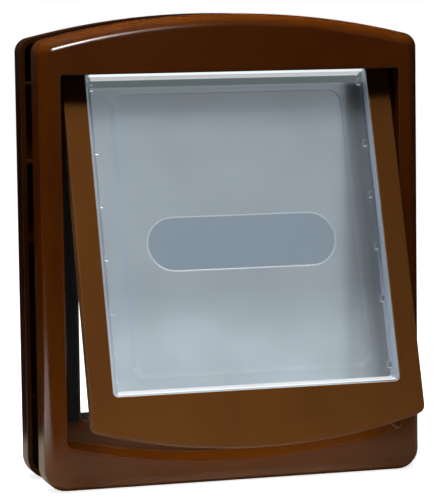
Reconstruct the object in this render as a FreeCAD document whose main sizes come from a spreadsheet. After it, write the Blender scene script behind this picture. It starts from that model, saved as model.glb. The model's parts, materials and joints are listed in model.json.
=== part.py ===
import FreeCAD, Part
import math
import operator
import os
import types

import Sketcher

# Cat flap for a door: a front frame and a rear frame with the door between them, a black tunnel
# through the door, and a flap with a clear panel that hangs from the front frame, here part open.
# Millimetres. X runs across the door, Y goes through it from the outside to the inside, Z is up.
# The origin is the bottom middle of the front frame's seat on the door's outer face.

SIZES = {
    # both frames
    "frame_width": 198.0,
    "frame_height": 236.0,
    "frame_depth": 17.8,
    "arch_rise": 12.67,
    "arch_corner": 7.5,
    "foot_corner": 11.0,
    "edge_round": 6.0,
    "wall": 2.5,
    "rib_thickness": 1.6,
    "rib_spread": 40.0,
    "rib_over_foot": 42.0,
    "rib_under_top": 34.0,
    "rib_set_back": 3.0,
    # the door and what passes through it
    "door_thickness": 25.0,
    "tunnel_corner": 3.0,
    "liner_wall": 2.2,
    "liner_end": 26.0,
    "lip_wall": 1.6,
    "lip_length": 3.5,
    "collar_wall": 1.8,
    "collar_length": 6.0,
    "socket_gap": 0.1,
    "sleeve_wall": 2.0,
    "sleeve_gap": 0.4,
    "sleeve_end": 12.0,
    # the front frame's opening, and the rebate behind it that the flap closes on
    "jamb_width": 10.93,
    "head_height": 28.9,
    "foot_height": 11.3,
    "opening_sag": 11.4,
    "opening_corner": 3.5,
    "opening_top_corner": 1.0,
    "opening_edge": 0.7,
    "ledge_rise": 2.0,
    "rebate_face": 1.0,
    "rebate_width": 11.37,
    "sill_height": 21.7,
    "head_rebate": 7.5,
    "head_room": 9.4,
    # the flap, whose own origin is on its hinge line
    "open_angle": 16.94,
    "hinge_y": -4.13,
    "hinge_over_opening": 2.9,
    "flap_thickness": 5.5,
    "flap_side_gap": 2.61,
    "flap_foot_gap": 5.28,
    "flap_above_hinge": 3.6,
    "flap_sag": 12.25,
    "flap_corner": 4.5,
    "flap_top_corner": 2.0,
    "flap_edge": 0.9,
    "stile_width": 11.78,
    "bottom_rail": 28.09,
    "window_top": 3.27,
    "window_corner": 2.5,
    "groove_depth": 3.0,
    "groove_wall": 2.2,
    # the clear panel
    "panel_plate": 1.4,
    "panel_gap": 0.12,
    "panel_flange": 2.2,
    "panel_set_back": 0.3,
    "tray_rim": 0.7,
    "tray_slope": 3.0,
    "tray_corner": 1.6,
    "field_side_margin": 9.0,
    "field_end_margin": 5.4,
    "field_corner": 6.0,
    "field_height": 1.0,
    "field_slope": 2.2,
    "pad_side_margin": 10.56,
    "pad_height": 27.0,
    "pad_below_middle": 6.3,
    "pad_step": 0.4,
    "catch_head": 6.83,
    "catch_lead": 32.2,
    "catch_tail": 33.8,
    "catch_foot": 8.83,
    "catch_length": 3.0,
    "catch_depth": 1.2,
    # the hinge
    "pin_radius": 1.5,
    "pin_in_flap": 9.0,
    "pin_in_frame": 5.0,
    "pin_clearance": 0.05,
    "pivot_boss_radius": 4.5,
    "pivot_boss_length": 3.6,
    # the magnets
    "magnet_width": 30.0,
    "magnet_height": 6.0,
    "magnet_thickness": 2.0,
    "magnet_rise": 6.02,
    "magnet_gap": 0.1,
    "cover_rim": 1.2,
    "cover_thickness": 0.8,
    # the seals
    "strip_width": 6.0,
    "strip_back": 0.8,
    "pile_margin": 0.6,
    "strip_gap": 0.3,
    "strip_set_in": 0.5,
    # the fixing screws, from the rear frame into the front frame
    "screw_from_side": 21.0,
    "screw_over_foot": 12.0,
    "upper_screw_spread": 35.0,
    "screw_under_top": 11.0,
    "screw_radius": 2.0,
    "screw_reach": 11.0,
    "screw_head_radius": 3.8,
    "screw_head_height": 2.6,
    "screw_gap": 0.1,
    "screw_slot": 0.8,
    "boss_radius": 4.0,
    "rear_boss_radius": 6.4,
    "cap_radius": 4.6,
    "cap_gap": 0.1,
    "cap_thickness": 1.4,
    "cap_pocket": 5.2,
}

SIDE_RIBS = 5
MIDDLE_CATCHES = 4

doc = FreeCAD.newDocument("cat_flap")
sheet = doc.addObject("Spreadsheet::Sheet", "sizes")
for row, (word, number) in enumerate(SIZES.items(), start=1):
    sheet.set("A%d" % row, word)
    sheet.set("B%d" % row, str(number))
    sheet.setAlias("B%d" % row, word)
doc.recompute()


class Size:
    """A number together with the formula that ties it to the sheet."""

    def __init__(self, value, formula):
        self.value = value
        self.formula = formula

    def __add__(self, other):
        return join(self, "+", other)

    def __radd__(self, other):
        return join(other, "+", self)

    def __sub__(self, other):
        return join(self, "-", other)

    def __rsub__(self, other):
        return join(other, "-", self)

    def __mul__(self, other):
        return join(self, "*", other)

    def __rmul__(self, other):
        return join(other, "*", self)

    def __truediv__(self, other):
        return join(self, "/", other)

    def __neg__(self):
        return join(0, "-", self)


SUMS = {"+": operator.add, "-": operator.sub, "*": operator.mul, "/": operator.truediv}


def as_size(thing):
    return thing if isinstance(thing, Size) else Size(float(thing), "%g" % thing)


def join(left, sign, right):
    left = as_size(left)
    right = as_size(right)
    return Size(SUMS[sign](left.value, right.value), "(%s %s %s)" % (left.formula, sign, right.formula))


def root(size):
    return Size(math.sqrt(size.value), "sqrt(%s)" % size.formula)


def bow_radius(half, rise):
    """Radius of the arc that rises by this much over this half width."""
    return (half * half + rise * rise) / (2 * rise)


S = types.SimpleNamespace(**{word: Size(number, "sizes." + word) for word, number in SIZES.items()})
NONE = as_size(0)


def bind(thing, name, size):
    thing.setExpression(name, as_size(size).formula)


# Sketches

def new_body(label):
    body = doc.addObject("PartDesign::Body", label)
    body.Label = label
    return body


def new_sketch(body, name, plane="XZ_Plane", lift=NONE):
    """A sketch on one of the body's own planes, lifted along that plane's normal."""
    sketch = body.newObject("Sketcher::SketchObject", name)
    support = next(item for item in body.Origin.OriginFeatures if item.Role == plane)
    sketch.AttachmentSupport = [(support, "")]
    sketch.MapMode = "FlatFace"
    bind(sketch, "AttachmentOffset.Base.z", lift)
    return sketch


def facing_front(body, name, y):
    """A sketch in the plane at this Y. Its normal points to the front, against Y."""
    return new_sketch(body, name, "XZ_Plane", -as_size(y))


def fix(sketch, kind, geometry, point, size):
    """Hold a point at a distance from the origin, along one axis."""
    size = as_size(size)
    if size.value < 0:
        rule = Sketcher.Constraint(kind, geometry, point, -1, 1, -size.value)
        size = -size
    else:
        rule = Sketcher.Constraint(kind, -1, 1, geometry, point, size.value)
    bind(sketch, "Constraints[%d]" % sketch.addConstraint(rule), size)


def fix_radius(sketch, geometry, size):
    size = as_size(size)
    index = sketch.addConstraint(Sketcher.Constraint("Radius", geometry, size.value))
    bind(sketch, "Constraints[%d]" % index, size)


def add_line(sketch, start, end):
    points = [FreeCAD.Vector(x, y, 0) for x, y in (start, end)]
    return sketch.addGeometry(Part.LineSegment(*points), False)


def add_arc(sketch, centre, radius, first, last):
    circle = Part.Circle(FreeCAD.Vector(centre[0], centre[1], 0), FreeCAD.Vector(0, 0, 1), radius)
    return sketch.addGeometry(Part.ArcOfCircle(circle, first, last), False)


def draw_circle(sketch, x, y, radius):
    x, y, radius = as_size(x), as_size(y), as_size(radius)
    centre = FreeCAD.Vector(x.value, y.value, 0)
    index = sketch.addGeometry(Part.Circle(centre, FreeCAD.Vector(0, 0, 1), radius.value), False)
    fix(sketch, "DistanceX", index, 3, x)
    fix(sketch, "DistanceY", index, 3, y)
    fix_radius(sketch, index, radius)


def draw_polygon(sketch, corners):
    """A closed outline of straight lines, with every corner fixed."""
    corners = [(as_size(x), as_size(y)) for x, y in corners]
    points = [(x.value, y.value) for x, y in corners]
    lines = [add_line(sketch, points[i], points[(i + 1) % len(points)]) for i in range(len(points))]
    for i, line in enumerate(lines):
        sketch.addConstraint(Sketcher.Constraint("Coincident", line, 2, lines[(i + 1) % len(lines)], 1))
        fix(sketch, "DistanceX", line, 1, corners[i][0])
        fix(sketch, "DistanceY", line, 1, corners[i][1])


def draw_block(sketch, left, right, low, high):
    draw_polygon(sketch, [(left, low), (right, low), (right, high), (left, high)])


def corner_spot(half, edge, corner, bow, sign):
    """Height of a corner's centre, the turn where it meets the edge, and the edge's own centre."""
    if bow is None:
        return edge.value - sign * corner.value, sign * math.pi / 2, None
    middle = edge.value - sign * bow.value
    across = half.value - corner.value
    climb = math.sqrt((bow.value - corner.value) ** 2 - across ** 2)
    return middle + sign * climb, sign * math.atan2(climb, across), middle


def draw_outline(sketch, half, low, high, low_corner, high_corner, low_bow=None, high_bow=None):
    """A closed outline, even about X = 0, with upright sides and round corners.

    The low and high edges are straight, or arcs of the radii low_bow and high_bow that bulge outward.
    """
    half, low, high = as_size(half), as_size(low), as_size(high)
    low_corner, high_corner = as_size(low_corner), as_size(high_corner)
    low_z, low_turn, low_middle = corner_spot(half, low, low_corner, low_bow, -1)
    high_z, high_turn, high_middle = corner_spot(half, high, high_corner, high_bow, 1)
    low_x = half.value - low_corner.value
    high_x = half.value - high_corner.value
    if low_bow is None:
        low_edge = add_line(sketch, (-low_x, low.value), (low_x, low.value))
    else:
        low_edge = add_arc(sketch, (0, low_middle), low_bow.value, math.pi - low_turn, 2 * math.pi + low_turn)
    low_right = add_arc(sketch, (low_x, low_z), low_corner.value, low_turn, 0)
    right = add_line(sketch, (half.value, low_z), (half.value, high_z))
    high_right = add_arc(sketch, (high_x, high_z), high_corner.value, 0, high_turn)
    if high_bow is None:
        high_edge = add_line(sketch, (high_x, high.value), (-high_x, high.value))
    else:
        high_edge = add_arc(sketch, (0, high_middle), high_bow.value, high_turn, math.pi - high_turn)
    high_left = add_arc(sketch, (-high_x, high_z), high_corner.value, math.pi - high_turn, math.pi)
    left = add_line(sketch, (-half.value, high_z), (-half.value, low_z))
    low_left = add_arc(sketch, (-low_x, low_z), low_corner.value, math.pi, math.pi - low_turn)
    loop = [low_edge, low_right, right, high_right, high_edge, high_left, left, low_left]
    for i, item in enumerate(loop):
        sketch.addConstraint(Sketcher.Constraint("Tangent", item, 2, loop[(i + 1) % len(loop)], 1))
    for side, size in ((right, half), (left, -half)):
        sketch.addConstraint(Sketcher.Constraint("Vertical", side))
        fix(sketch, "DistanceX", side, 1, size)
    for arc, size in ((low_right, low_corner), (low_left, low_corner),
                      (high_right, high_corner), (high_left, high_corner)):
        fix_radius(sketch, arc, size)
    for edge, level, bow, sign in ((low_edge, low, low_bow, -1), (high_edge, high, high_bow, 1)):
        if bow is None:
            sketch.addConstraint(Sketcher.Constraint("Horizontal", edge))
            fix(sketch, "DistanceY", edge, 1, level)
        else:
            sketch.addConstraint(Sketcher.Constraint("PointOnObject", edge, 3, -2))
            fix(sketch, "DistanceY", edge, 3, level - sign * bow)
            fix_radius(sketch, edge, bow)


def draw_stadium(sketch, half, middle, height):
    """A bar with half-round ends, even about X = 0."""
    half, middle, height = as_size(half), as_size(middle), as_size(height)
    radius = height / 2
    x = half - radius
    low, high = middle - radius, middle + radius
    bottom = add_line(sketch, (-x.value, low.value), (x.value, low.value))
    right = add_arc(sketch, (x.value, middle.value), radius.value, -math.pi / 2, math.pi / 2)
    top = add_line(sketch, (x.value, high.value), (-x.value, high.value))
    left = add_arc(sketch, (-x.value, middle.value), radius.value, math.pi / 2, 3 * math.pi / 2)
    loop = [bottom, right, top, left]
    for i, item in enumerate(loop):
        sketch.addConstraint(Sketcher.Constraint("Tangent", item, 2, loop[(i + 1) % len(loop)], 1))
    fix(sketch, "DistanceX", right, 3, x)
    fix(sketch, "DistanceX", left, 3, -x)
    fix(sketch, "DistanceY", right, 3, middle)
    fix(sketch, "DistanceY", left, 3, middle)
    fix_radius(sketch, right, radius)


# Features

def volume_of(body):
    return body.Shape.Volume if body.Tip else 0.0


def pad(body, name, sketch, length, reversed=False, midplane=False):
    """Grow a sketch along its normal, or against it, and check that the body gained by it."""
    before = volume_of(body)
    feature = body.newObject("PartDesign::Pad", name)
    feature.Profile = sketch
    bind(feature, "Length", length)
    feature.Reversed = reversed
    feature.Midplane = midplane
    doc.recompute()
    if body.Shape.Volume <= before:
        raise RuntimeError("%s added nothing to %s" % (name, body.Label))
    return feature


def pocket(body, name, sketch, length, to_normal=False, midplane=False):
    """Cut a sketch away, against its normal unless told otherwise, and check that it cut."""
    before = volume_of(body)
    feature = body.newObject("PartDesign::Pocket", name)
    feature.Profile = sketch
    bind(feature, "Length", length)
    feature.Reversed = to_normal
    feature.Midplane = midplane
    doc.recompute()
    if body.Shape.Volume >= before:
        raise RuntimeError("%s cut nothing from %s" % (name, body.Label))
    return feature


def loft(body, kind, name, first, second):
    before = volume_of(body)
    feature = body.newObject("PartDesign::" + kind, name)
    feature.Profile = first
    feature.Sections = [second]
    feature.Ruled = True
    doc.recompute()
    gained = body.Shape.Volume > before
    if gained != (kind == "AdditiveLoft"):
        raise RuntimeError("%s went the wrong way in %s" % (name, body.Label))
    return feature


def revolve(body, name, sketch, axis):
    feature = body.newObject("PartDesign::Revolution", name)
    feature.Profile = sketch
    feature.ReferenceAxis = (sketch, [axis])
    feature.Angle = 360
    doc.recompute()
    return feature


def row_of(body, name, feature, axis, span, count):
    """Repeat a feature along one of the body's own axes, evenly over this span."""
    before = volume_of(body)
    pattern = body.newObject("PartDesign::LinearPattern", name)
    pattern.Originals = [feature]
    line = next(item for item in body.Origin.OriginFeatures if item.Role == axis)
    pattern.Direction = (line, [""])
    pattern.Occurrences = count
    bind(pattern, "Length", span)
    body.Tip = pattern
    doc.recompute()
    if abs(body.Shape.Volume - before) < 1e-6:
        raise RuntimeError("%s repeated nothing in %s" % (name, body.Label))
    return pattern


def edges_at(feature, y, test=None):
    """Names of the edges that lie in the plane at this Y."""
    names = []
    for number, edge in enumerate(feature.Shape.Edges, start=1):
        flat = all(abs(point.Y - y) < 1e-4 for point in edge.Vertexes)
        if flat and abs(edge.CenterOfMass.y - y) < 1e-4 and (test is None or test(edge)):
            names.append("Edge%d" % number)
    return names


def fillet(body, name, feature, edges, radius):
    rounding = body.newObject("PartDesign::Fillet", name)
    rounding.Base = (feature, edges)
    bind(rounding, "Radius", radius)
    doc.recompute()
    return rounding


def hollow_from_back(body, name, feature, wall):
    """Leave a shell of this wall, open at the flat back, the face with the highest Y."""
    faces = feature.Shape.Faces
    back = max(range(len(faces)), key=lambda index: faces[index].CenterOfMass.y)
    before = volume_of(body)
    shell = body.newObject("PartDesign::Thickness", name)
    shell.Base = (feature, ["Face%d" % (back + 1)])
    bind(shell, "Value", wall)
    shell.Mode = 0
    shell.Join = 0
    shell.Reversed = True
    doc.recompute()
    if body.Shape.Volume >= before:
        raise RuntimeError("%s is not hollow" % body.Label)
    return shell


# Sizes that more than one piece shares

frame_half = S.frame_width / 2
arch_bow = bow_radius(frame_half, S.arch_rise)
opening_half = frame_half - S.jamb_width
opening_top = S.frame_height - S.head_height
opening_bow = bow_radius(opening_half, S.opening_sag)
room_top = opening_top + S.head_room
tunnel_half = opening_half - S.rebate_width
tunnel_floor = S.foot_height + S.sill_height
tunnel_ceiling = opening_top - S.head_rebate
rebate_back = S.rebate_face + S.wall
lip_end = rebate_back + S.lip_length
liner_half = tunnel_half + S.liner_wall
liner_floor = tunnel_floor - S.liner_wall
liner_ceiling = tunnel_ceiling + S.liner_wall
liner_corner = S.tunnel_corner + S.liner_wall
front_inner = S.frame_depth - S.wall
hinge_z = opening_top + S.hinge_over_opening
flap_half = opening_half - S.flap_side_gap
flap_drop = hinge_z - S.foot_height - S.flap_foot_gap
flap_bow = bow_radius(flap_half, S.flap_sag)
flap_back_closed = S.hinge_y + S.flap_thickness / 2
window_half = flap_half - S.stile_width
window_bottom = flap_drop - S.bottom_rail
magnet_under_hinge = flap_drop - S.magnet_rise
magnet_z = hinge_z - magnet_under_hinge
lower_screw_x = frame_half - S.screw_from_side
upper_screw_z = S.frame_height - S.screw_under_top
screw_spots = {
    "bottom_left": (-lower_screw_x, S.screw_over_foot),
    "bottom_right": (lower_screw_x, S.screw_over_foot),
    "top_left": (-S.upper_screw_spread, upper_screw_z),
    "top_right": (S.upper_screw_spread, upper_screw_z),
}


def frame_shell(body):
    """The hollow moulding that both frames start from, with its seat on the door at Y = 0."""
    outline = facing_front(body, "outline", 0)
    draw_outline(outline, frame_half, 0, S.frame_height, S.foot_corner, S.arch_corner, high_bow=arch_bow)
    slab = pad(body, "slab", outline, S.frame_depth)
    front_edges = edges_at(slab, -S.frame_depth.value)
    rounded = fillet(body, "rounded_edge", slab, front_edges, S.edge_round)
    hollow_from_back(body, "hollow", rounded, S.wall)


def rib_section(near, outside, sign):
    """Corners of a rib from near to the moulding's wall, as places across and places in Y.

    It ends inside the wall and cuts the corner where the wall turns into the front. The outer
    surface is at outside, and sign says which way that lies.
    """
    edge = outside - sign * S.wall / 3
    turn = outside - sign * S.edge_round
    front = -(S.frame_depth - S.wall / 3)
    return [(near, -S.rib_set_back), (edge, -S.rib_set_back), (edge, -(S.frame_depth - S.edge_round)),
            (turn, front), (near, front)]


def side_ribs(body, inner):
    """Short ribs between the side walls and what stands inside them, evenly spaced in pairs."""
    sketch = new_sketch(body, "side_rib_outline", "XY_Plane", S.rib_over_foot)
    for sign in (-1, 1):
        draw_polygon(sketch, rib_section(sign * (inner - S.wall / 2), sign * frame_half, sign))
    rib = pad(body, "side_rib", sketch, S.rib_thickness, midplane=True)
    span = S.frame_height - S.rib_over_foot - S.rib_under_top
    row_of(body, "side_ribs", rib, "Z_Axis", span, SIDE_RIBS)


def head_and_foot_ribs(body, head_from, foot_to):
    """Upright ribs from the arch down to head_from, and from the foot up to foot_to, given by X."""
    for name, spot in (("far_left", -1.5), ("left", -0.5), ("right", 0.5), ("far_right", 1.5)):
        x = spot * S.rib_spread
        crown = S.frame_height - arch_bow + root(arch_bow * arch_bow - x * x)
        sketch = new_sketch(body, "upright_rib_" + name, "YZ_Plane", x)
        draw_polygon(sketch, [(y, z) for z, y in rib_section(head_from, crown, 1)])
        draw_polygon(sketch, [(y, z) for z, y in rib_section(foot_to(x), NONE, -1)])
        pad(body, "rib_" + name, sketch, S.rib_thickness, midplane=True)


def make_front_frame():
    body = new_body("front_frame")
    frame_shell(body)
    # the box that the flap hangs in, closed at the back by the rebate
    box = facing_front(body, "box_outline", rebate_back)
    box_half = opening_half + S.wall
    box_bow = opening_bow + S.wall
    box_corner = S.opening_corner + S.wall
    draw_outline(box, box_half, S.foot_height - S.wall, room_top + S.wall,
                 box_corner, box_corner, low_bow=box_bow)
    pad(body, "box", box, rebate_back + front_inner + S.wall / 2)
    lip = facing_front(body, "lip_outline", lip_end)
    lip_corner = S.tunnel_corner + S.lip_wall
    draw_outline(lip, tunnel_half + S.lip_wall, tunnel_floor - S.lip_wall,
                 tunnel_ceiling + S.lip_wall, lip_corner, lip_corner)
    pad(body, "lip", lip, S.lip_length + S.wall / 2)
    # the room inside, whose floor climbs a little to the rear, then the two holes
    room_front = facing_front(body, "room_front", -front_inner)
    draw_outline(room_front, opening_half, S.foot_height, room_top,
                 S.opening_corner, S.opening_corner, low_bow=opening_bow)
    room_back = facing_front(body, "room_back", S.rebate_face)
    draw_outline(room_back, opening_half, S.foot_height + S.ledge_rise, room_top,
                 S.opening_corner, S.opening_corner, low_bow=opening_bow)
    loft(body, "SubtractiveLoft", "room", room_front, room_back)
    opening = facing_front(body, "opening_outline", -S.frame_depth)
    draw_outline(opening, opening_half, S.foot_height, opening_top,
                 S.opening_corner, S.opening_top_corner, low_bow=opening_bow)
    mouth = pocket(body, "opening", opening, S.wall)
    front_edges = edges_at(mouth, -S.frame_depth.value,
                           lambda edge: edge.BoundBox.XMax < opening_half.value + 0.01
                           and edge.BoundBox.XMin > -opening_half.value - 0.01
                           and edge.BoundBox.ZMax < opening_top.value + 0.01
                           and edge.BoundBox.ZMin > S.foot_height.value - 0.01)
    fillet(body, "opening_edge", mouth, front_edges, S.opening_edge)
    tunnel = facing_front(body, "tunnel_outline", S.rebate_face)
    draw_outline(tunnel, tunnel_half, tunnel_floor, tunnel_ceiling, S.tunnel_corner, S.tunnel_corner)
    pocket(body, "tunnel", tunnel, S.wall + S.lip_length)
    # pivot seats behind the side walls
    for side, name in ((-1, "left"), (1, "right")):
        sketch = new_sketch(body, "pivot_boss_" + name, "YZ_Plane", side * (opening_half + S.wall / 2))
        draw_circle(sketch, S.hinge_y, hinge_z, S.pivot_boss_radius)
        pad(body, "pivot_" + name, sketch, S.wall / 2 + S.pivot_boss_length, reversed=side < 0)
    bore = new_sketch(body, "pivot_bore_outline", "YZ_Plane")
    draw_circle(bore, S.hinge_y, hinge_z, S.pin_radius + S.pin_clearance)
    pocket(body, "pivot_bore", bore, 2 * (opening_half + S.wall + S.pivot_boss_length), midplane=True)
    # the magnet's seat in the riser of the sill
    seat_half = S.magnet_width / 2 + S.magnet_gap
    seat_high = S.magnet_height / 2 + S.magnet_gap
    seat_deep = S.magnet_thickness + S.magnet_gap
    block = facing_front(body, "magnet_block", rebate_back + seat_deep)
    draw_block(block, -seat_half - S.wall, seat_half + S.wall,
               magnet_z - seat_high - S.wall, magnet_z + seat_high + S.wall)
    pad(body, "magnet_housing", block, seat_deep + S.wall / 2)
    rim_sketch = facing_front(body, "cover_seat_outline", S.rebate_face)
    draw_block(rim_sketch, -seat_half - S.cover_rim, seat_half + S.cover_rim,
               magnet_z - seat_high - S.cover_rim, magnet_z + seat_high + S.cover_rim)
    pocket(body, "cover_seat", rim_sketch, S.cover_thickness)
    seat = facing_front(body, "magnet_seat_outline", S.rebate_face)
    draw_block(seat, -seat_half, seat_half, magnet_z - seat_high, magnet_z + seat_high)
    pocket(body, "magnet_seat", seat, S.cover_thickness + seat_deep)
    # ribs, and the bosses that the screws cut into
    side_ribs(body, box_half)
    floor_centre = S.foot_height + opening_bow
    floor_reach = opening_bow + S.wall / 2
    head_and_foot_ribs(body, room_top + S.wall / 2,
                       lambda spot: floor_centre - root(floor_reach * floor_reach - spot * spot))
    bosses = facing_front(body, "boss_outline", -S.rib_set_back)
    for x, z in screw_spots.values():
        draw_circle(bosses, x, z, S.boss_radius)
    pad(body, "bosses", bosses, front_inner - S.rib_set_back + S.wall / 2)
    pilots = facing_front(body, "pilot_outline", 0)
    for x, z in screw_spots.values():
        draw_circle(pilots, x, z, S.screw_radius + S.screw_gap)
    pocket(body, "pilots", pilots, S.screw_reach + S.screw_gap, to_normal=True)
    return body


def make_rear_frame():
    """Modelled like the front frame, then turned to face the other way on the door's inner side."""
    body = new_body("rear_frame")
    frame_shell(body)
    hole_half = liner_half + S.sleeve_gap
    hole_low = liner_floor - S.sleeve_gap
    hole_high = liner_ceiling + S.sleeve_gap
    hole_corner = liner_corner + S.sleeve_gap
    sleeve_length = S.door_thickness - S.sleeve_end
    sleeve = facing_front(body, "sleeve_outline", sleeve_length)
    draw_outline(sleeve, hole_half + S.sleeve_wall, hole_low - S.sleeve_wall, hole_high + S.sleeve_wall,
                 hole_corner + S.sleeve_wall, hole_corner + S.sleeve_wall)
    pad(body, "sleeve", sleeve, sleeve_length + front_inner + S.wall / 2)
    hole = facing_front(body, "hole_outline", -S.frame_depth)
    draw_outline(hole, hole_half, hole_low, hole_high, hole_corner, hole_corner)
    mouth = pocket(body, "hole", hole, S.frame_depth + sleeve_length)
    mouth_edges = edges_at(mouth, -S.frame_depth.value,
                           lambda edge: edge.BoundBox.XMax < hole_half.value + 0.01
                           and edge.BoundBox.XMin > -hole_half.value - 0.01
                           and edge.BoundBox.ZMax < hole_high.value + 0.01
                           and edge.BoundBox.ZMin > hole_low.value - 0.01)
    fillet(body, "hole_edge", mouth, mouth_edges, S.wall / 2)
    side_ribs(body, hole_half + S.sleeve_wall)
    head_and_foot_ribs(body, hole_high + S.sleeve_wall / 2,
                       lambda spot: hole_low - S.sleeve_wall / 2)
    bosses = facing_front(body, "boss_outline", 0)
    for x, z in screw_spots.values():
        draw_circle(bosses, x, z, S.rear_boss_radius)
    pad(body, "bosses", bosses, front_inner + S.wall / 2)
    wells = facing_front(body, "cap_well_outline", -S.frame_depth)
    for x, z in screw_spots.values():
        draw_circle(wells, x, z, S.cap_radius + S.cap_gap)
    pocket(body, "cap_wells", wells, S.cap_pocket)
    clear = facing_front(body, "screw_hole_outline", -S.frame_depth)
    for x, z in screw_spots.values():
        draw_circle(clear, x, z, S.screw_radius + 2 * S.screw_gap)
    pocket(body, "screw_holes", clear, S.frame_depth)
    bind(body, "Placement.Base.y", S.door_thickness)
    body.Placement.Rotation = FreeCAD.Rotation(FreeCAD.Vector(0, 0, 1), 180)
    return body


def make_tunnel_liner():
    body = new_body("tunnel_liner")
    tube = facing_front(body, "tube_outline", S.liner_end)
    draw_outline(tube, liner_half, liner_floor, liner_ceiling, liner_corner, liner_corner)
    pad(body, "tube", tube, S.liner_end - lip_end)
    # the collar slips over the front frame's lip
    collar_out = S.lip_wall + S.socket_gap + S.collar_wall
    collar = facing_front(body, "collar_outline", rebate_back + S.socket_gap + S.collar_length)
    draw_outline(collar, tunnel_half + collar_out, tunnel_floor - collar_out,
                 tunnel_ceiling + collar_out, S.tunnel_corner + collar_out, S.tunnel_corner + collar_out)
    pad(body, "collar", collar, S.collar_length)
    socket_out = S.lip_wall + S.socket_gap
    socket = facing_front(body, "socket_outline", rebate_back)
    draw_outline(socket, tunnel_half + socket_out, tunnel_floor - socket_out,
                 tunnel_ceiling + socket_out, S.tunnel_corner + socket_out, S.tunnel_corner + socket_out)
    pocket(body, "socket", socket, S.lip_length)
    bore = facing_front(body, "bore_outline", rebate_back)
    draw_outline(bore, tunnel_half, tunnel_floor, tunnel_ceiling, S.tunnel_corner, S.tunnel_corner)
    pocket(body, "bore", bore, S.liner_end - rebate_back)
    return body


# The flap's pieces share an origin on the hinge line. Their Y = 0 is the middle of the flap.

flap_front = -S.flap_thickness / 2
flap_back = S.flap_thickness / 2
panel_half = window_half - S.panel_gap
panel_high = -S.window_top - S.panel_gap
panel_low = -window_bottom + S.panel_gap


def hang(body):
    """Put a flap piece on the hinge line and swing it open, to the front."""
    bind(body, "Placement.Base.y", S.hinge_y)
    bind(body, "Placement.Base.z", hinge_z)
    body.Placement.Rotation = FreeCAD.Rotation(FreeCAD.Vector(1, 0, 0), 0)
    bind(body, "Placement.Rotation.Angle", -S.open_angle)
    return body


def make_flap_surround():
    body = new_body("flap_surround")
    outline = facing_front(body, "outline", flap_back)
    draw_outline(outline, flap_half, -flap_drop, S.flap_above_hinge, S.flap_corner, S.flap_top_corner,
                 low_bow=flap_bow)
    plate = pad(body, "plate", outline, S.flap_thickness)
    fillet(body, "front_edge", plate, edges_at(plate, flap_front.value), S.flap_edge)
    window = facing_front(body, "window_outline", flap_front)
    draw_outline(window, window_half, -window_bottom, -S.window_top, S.window_corner, S.window_corner)
    pocket(body, "window", window, S.flap_thickness)
    step = facing_front(body, "panel_step_outline", flap_back)
    grow = S.panel_flange + S.panel_gap
    draw_outline(step, panel_half + grow, panel_low - grow, panel_high + grow,
                 S.window_corner + grow, S.window_corner + grow)
    pocket(body, "panel_step", step, S.panel_plate, to_normal=True)
    # hollow back of the bottom rail, in two halves beside the magnet
    rail_high = -window_bottom - grow - S.groove_wall
    seat_half = S.magnet_width / 2 + S.magnet_gap
    groove = facing_front(body, "groove_outline", flap_back)
    inner = seat_half + S.cover_rim + S.groove_wall
    outer = flap_half - S.groove_wall - S.flap_corner
    under = flap_bow - S.groove_wall
    for sign in (-1, 1):
        near = sign * inner
        far = sign * outer
        near_low = flap_bow - flap_drop - root(under * under - near * near)
        far_low = flap_bow - flap_drop - root(under * under - far * far)
        draw_polygon(groove, [(near, rail_high), (near, near_low), (far, far_low), (far, rail_high)])
    pocket(body, "groove", groove, S.groove_depth, to_normal=True)
    seat_high = S.magnet_height / 2 + S.magnet_gap
    rim = facing_front(body, "cover_seat_outline", flap_back)
    draw_block(rim, -seat_half - S.cover_rim, seat_half + S.cover_rim,
               -magnet_under_hinge - seat_high - S.cover_rim, -magnet_under_hinge + seat_high + S.cover_rim)
    pocket(body, "cover_seat", rim, S.cover_thickness, to_normal=True)
    seat = facing_front(body, "magnet_seat_outline", flap_back)
    draw_block(seat, -seat_half, seat_half, -magnet_under_hinge - seat_high, -magnet_under_hinge + seat_high)
    pocket(body, "magnet_seat", seat, S.cover_thickness + S.magnet_thickness + S.magnet_gap, to_normal=True)
    for side, name in ((-1, "left"), (1, "right")):
        sketch = new_sketch(body, "pin_hole_outline_" + name, "YZ_Plane", side * flap_half)
        draw_circle(sketch, 0, 0, S.pin_radius)
        pocket(body, "pin_hole_" + name, sketch, S.pin_in_flap, to_normal=side < 0)
    return hang(body)


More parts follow.
